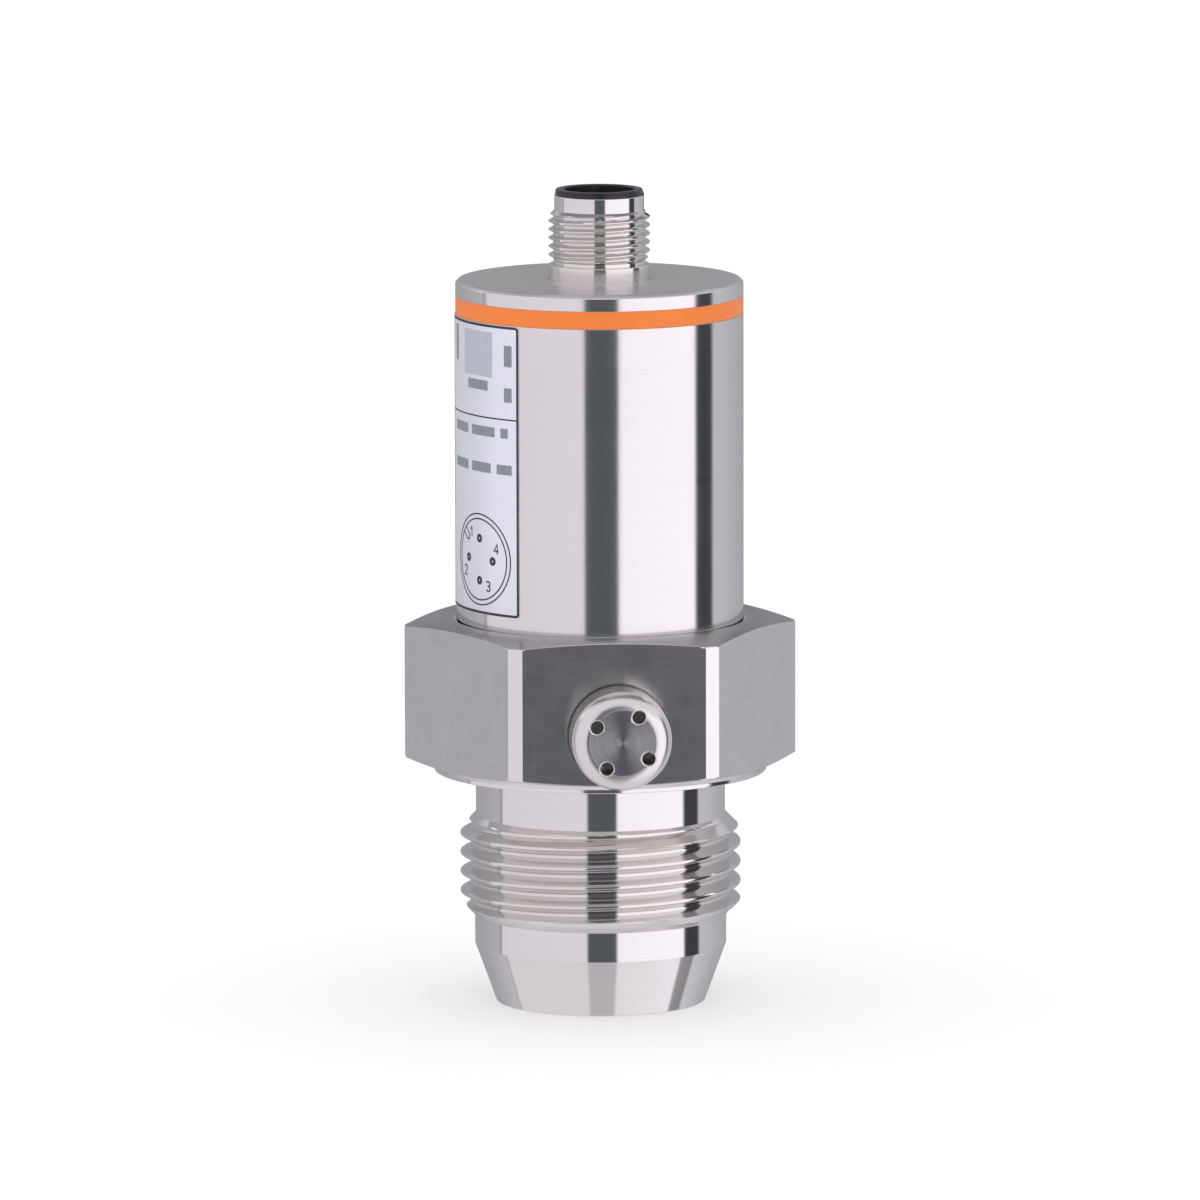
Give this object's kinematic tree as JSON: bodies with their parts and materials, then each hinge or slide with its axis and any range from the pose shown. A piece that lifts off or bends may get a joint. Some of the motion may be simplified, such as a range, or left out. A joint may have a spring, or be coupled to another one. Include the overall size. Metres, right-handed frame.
{
  "type": "pressure sensor",
  "caption": "Round steel pressure sensor with a conical foot, a pipe-threaded hexagon fitting, a tube housing with an orange ring, a vented side cover and a threaded round plug.",
  "frame": {"origin": "on the sensor's axis, in the plane of the foot's flat ring", "axes": "+Z along the axis from the foot to the plug; -Y out of the hexagon flat that carries the vent cover"},
  "size_m": [0.0463, 0.0475, 0.0968],
  "materials": {
    "fitting_steel": "turned stainless steel, flats brushed along their length",
    "housing_steel": "fine-turned stainless steel",
    "plug_steel": "turned stainless steel thread",
    "vent_steel": "polished rounding with a turned face",
    "orange_plastic": "satin",
    "black_plastic": "fine moulded",
    "label_film": "silver-white printed film",
    "seal_rubber": "smooth",
    "seal_white": "smooth fluoropolymer",
    "filter_white": "fine porous membrane",
    "ceramic": "lapped alumina",
    "contact_gold": "gold-plated",
    "board_green": "solder resist",
    "chip_black": "moulded package",
    "capacitor_can": "drawn can",
    "lead_red": "insulated wire",
    "carrier_plastic": "moulded, natural colour"
  },
  "bodies": {
    "root": {"process_fitting": "fitting_steel", "housing_o_ring": "seal_rubber", "housing_tube": "housing_steel", "colour_ring": "orange_plastic", "end_cap": "housing_steel", "cap_o_ring": "seal_rubber", "plug_sleeve": "plug_steel", "plug_insert": "black_plastic", "plug_o_ring": "seal_rubber", "plug_pin_1": "contact_gold", "plug_pin_2": "contact_gold", "plug_pin_3": "contact_gold", "plug_pin_4": "contact_gold", "label_foil": "label_film", "vent_cover": "vent_steel", "vent_nipple": "vent_steel", "vent_o_ring": "seal_rubber", "vent_membrane": "filter_white", "membrane_ring": "vent_steel", "cell_seal": "seal_white", "cell_diaphragm": "ceramic", "cell_body": "ceramic", "cell_backing_ring": "fitting_steel", "cell_clamp_nut": "fitting_steel", "cell_pins": "contact_gold", "cell_board": "board_green", "cell_chip": "chip_black", "cell_leads": "lead_red", "lower_carrier": "carrier_plastic", "upper_carrier": "carrier_plastic", "insulating_sleeve": "carrier_plastic", "main_board": "board_green", "controller_chip": "chip_black", "converter_chip": "chip_black", "output_driver": "chip_black", "board_capacitors": "capacitor_can", "board_header": "black_plastic", "plug_board": "board_green"}
  },
  "joints": []
}
